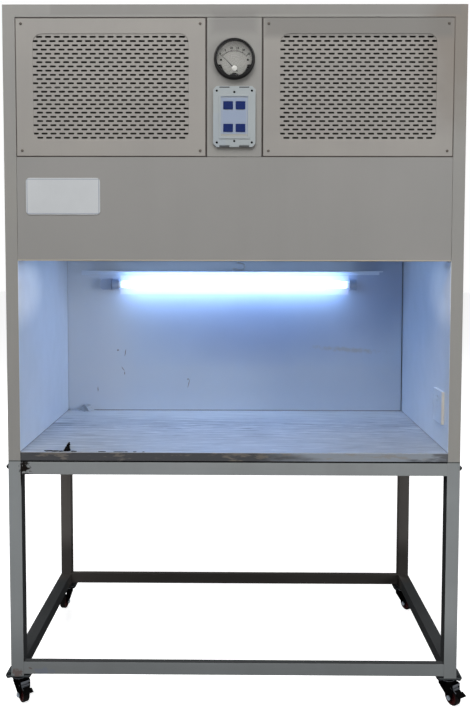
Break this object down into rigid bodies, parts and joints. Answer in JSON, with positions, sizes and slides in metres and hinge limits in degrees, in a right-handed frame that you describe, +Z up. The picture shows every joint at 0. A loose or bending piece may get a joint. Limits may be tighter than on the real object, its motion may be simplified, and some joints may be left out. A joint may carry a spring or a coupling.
{
  "type": "laminar flow hood",
  "caption": "Upright clean bench with a lit working chamber, two slotted air grilles and a tube stand on casters.",
  "frame": {"origin": "on the floor under the middle of the cabinet", "axes": "+X to the operator's right, +Y from the open front to the back, +Z up"},
  "size_m": [1.3941, 0.7141, 2.088],
  "materials": {
    "stand_paint": "satin",
    "zinc_steel": "dull zinc",
    "black_steel": "gloss",
    "wheel_rubber": "matte",
    "cabinet_paint": "satin",
    "grille_paint": "satin",
    "liner_paint": "satin",
    "stainless": "brushed",
    "galvanised": "matte",
    "filter_media": "matte",
    "motor_paint": "painted",
    "black_plastic": "matte",
    "dial_white": "matte",
    "clear_glass": "clear",
    "keypad_grey": "satin",
    "key_blue": "satin",
    "plate_white": "satin",
    "lamp_glass": "lit",
    "white_plastic": "satin"
  },
  "bodies": {
    "hood": {"left_end_frame": "stand_paint", "right_end_frame": "stand_paint", "upper_front_rail": "stand_paint", "upper_rear_rail": "stand_paint", "lower_front_rail": "stand_paint", "lower_rear_rail": "stand_paint", "stand_bolts": "zinc_steel", "caster_plates": "black_steel", "cabinet_frame": "cabinet_paint", "left_side_panel": "cabinet_paint", "right_side_panel": "cabinet_paint", "rear_panel": "cabinet_paint", "top_cover": "cabinet_paint", "header_panel": "cabinet_paint", "console_panel": "cabinet_paint", "left_grille": "grille_paint", "right_grille": "grille_paint", "panel_screws": "zinc_steel", "prefilter_frame": "cabinet_paint", "pre_filters": "filter_media", "left_liner": "liner_paint", "right_liner": "liner_paint", "rear_liner": "liner_paint", "work_surface": "stainless", "diffuser_screen": "galvanised", "hepa_filter": "filter_media", "blower_deck": "cabinet_paint", "blower_scroll": "galvanised", "blower_motor": "motor_paint", "gauge_case": "black_plastic", "gauge_dial": "dial_white", "gauge_lens": "clear_glass", "keypad_plate": "keypad_grey", "nameplate": "plate_white", "fluorescent_tube": "lamp_glass", "lamp_fittings": "white_plastic", "lamp_shade": "liner_paint", "lamp_lead": "white_plastic", "power_socket": "white_plastic", "cable_gland": "black_plastic"},
    "front_left_caster": {"front_left_fork": "black_steel", "front_left_axle": "zinc_steel"},
    "front_left_roller": {"front_left_wheel": "wheel_rubber"},
    "left_brake_pedal": {"left_brake_pedal": "black_steel"},
    "front_right_caster": {"front_right_fork": "black_steel", "front_right_axle": "zinc_steel"},
    "front_right_roller": {"front_right_wheel": "wheel_rubber"},
    "right_brake_pedal": {"right_brake_pedal": "black_steel"},
    "rear_left_caster": {"rear_left_fork": "black_steel", "rear_left_axle": "zinc_steel"},
    "rear_left_roller": {"rear_left_wheel": "wheel_rubber"},
    "rear_right_caster": {"rear_right_fork": "black_steel", "rear_right_axle": "zinc_steel"},
    "rear_right_roller": {"rear_right_wheel": "wheel_rubber"},
    "pointer": {"gauge_pointer": "black_plastic"},
    "upper_left_key": {"upper_left_key": "key_blue"},
    "upper_right_key": {"upper_right_key": "key_blue"},
    "lower_left_key": {"lower_left_key": "key_blue"},
    "lower_right_key": {"lower_right_key": "key_blue"},
    "blower": {"blower_impeller": "galvanised"}
  },
  "joints": [
    {"name": "front_left_swivel", "type": "hinge", "parent": "hood", "child": "front_left_caster", "pos_m": [-0.656, -0.301, 0.073], "axis": [0, 0, 1], "continuous": true},
    {"name": "front_left_roll", "type": "hinge", "parent": "front_left_caster", "child": "front_left_roller", "pos_m": [-0.6409, -0.31965, 0.025], "axis": [0.7771, 0.6293, 0], "continuous": true},
    {"name": "left_brake_pedal_press", "type": "hinge", "parent": "front_left_caster", "child": "left_brake_pedal", "pos_m": [-0.63712, -0.32431, 0.0552], "axis": [0.7771, 0.6293, 0], "range_deg": [0, 18]},
    {"name": "front_right_swivel", "type": "hinge", "parent": "hood", "child": "front_right_caster", "pos_m": [0.656, -0.301, 0.073], "axis": [0, 0, 1], "continuous": true},
    {"name": "front_right_roll", "type": "hinge", "parent": "front_right_caster", "child": "front_right_roller", "pos_m": [0.66763, -0.32199, 0.025], "axis": [0.8746, 0.4848, 0], "continuous": true},
    {"name": "right_brake_pedal_press", "type": "hinge", "parent": "front_right_caster", "child": "right_brake_pedal", "pos_m": [0.67054, -0.32724, 0.0552], "axis": [0.8746, 0.4848, 0], "range_deg": [0, 18]},
    {"name": "rear_left_swivel", "type": "hinge", "parent": "hood", "child": "rear_left_caster", "pos_m": [-0.656, 0.301, 0.073], "axis": [0, 0, 1], "continuous": true},
    {"name": "rear_left_roll", "type": "hinge", "parent": "rear_left_caster", "child": "rear_left_roller", "pos_m": [-0.66017, 0.27736, 0.025], "axis": [0.9848, -0.1736, 0], "continuous": true},
    {"name": "rear_right_swivel", "type": "hinge", "parent": "hood", "child": "rear_right_caster", "pos_m": [0.656, 0.301, 0.073], "axis": [0, 0, 1], "continuous": true},
    {"name": "rear_right_roll", "type": "hinge", "parent": "rear_right_caster", "child": "rear_right_roller", "pos_m": [0.668, 0.28021, 0.025], "axis": [0.866, 0.5, 0], "continuous": true},
    {"name": "pointer_sweep", "type": "hinge", "parent": "hood", "child": "pointer", "pos_m": [0, -0.3325, 1.9055], "axis": [0, 1, 0], "range_deg": [0, 90], "stiffness_Nm_per_rad": 0.01},
    {"name": "upper_left_key_press", "type": "slide", "parent": "hood", "child": "upper_left_key", "axis": [0, 1, 0], "range_m": [0, 0.001], "stiffness_N_per_m": 1000},
    {"name": "upper_right_key_press", "type": "slide", "parent": "hood", "child": "upper_right_key", "axis": [0, 1, 0], "range_m": [0, 0.001], "stiffness_N_per_m": 1000},
    {"name": "lower_left_key_press", "type": "slide", "parent": "hood", "child": "lower_left_key", "axis": [0, 1, 0], "range_m": [0, 0.001], "stiffness_N_per_m": 1000},
    {"name": "lower_right_key_press", "type": "slide", "parent": "hood", "child": "lower_right_key", "axis": [0, 1, 0], "range_m": [0, 0.001], "stiffness_N_per_m": 1000},
    {"name": "blower_spin", "type": "hinge", "parent": "hood", "child": "blower", "pos_m": [-0.06, 0, 1.83], "axis": [1, 0, 0], "continuous": true}
  ]
}
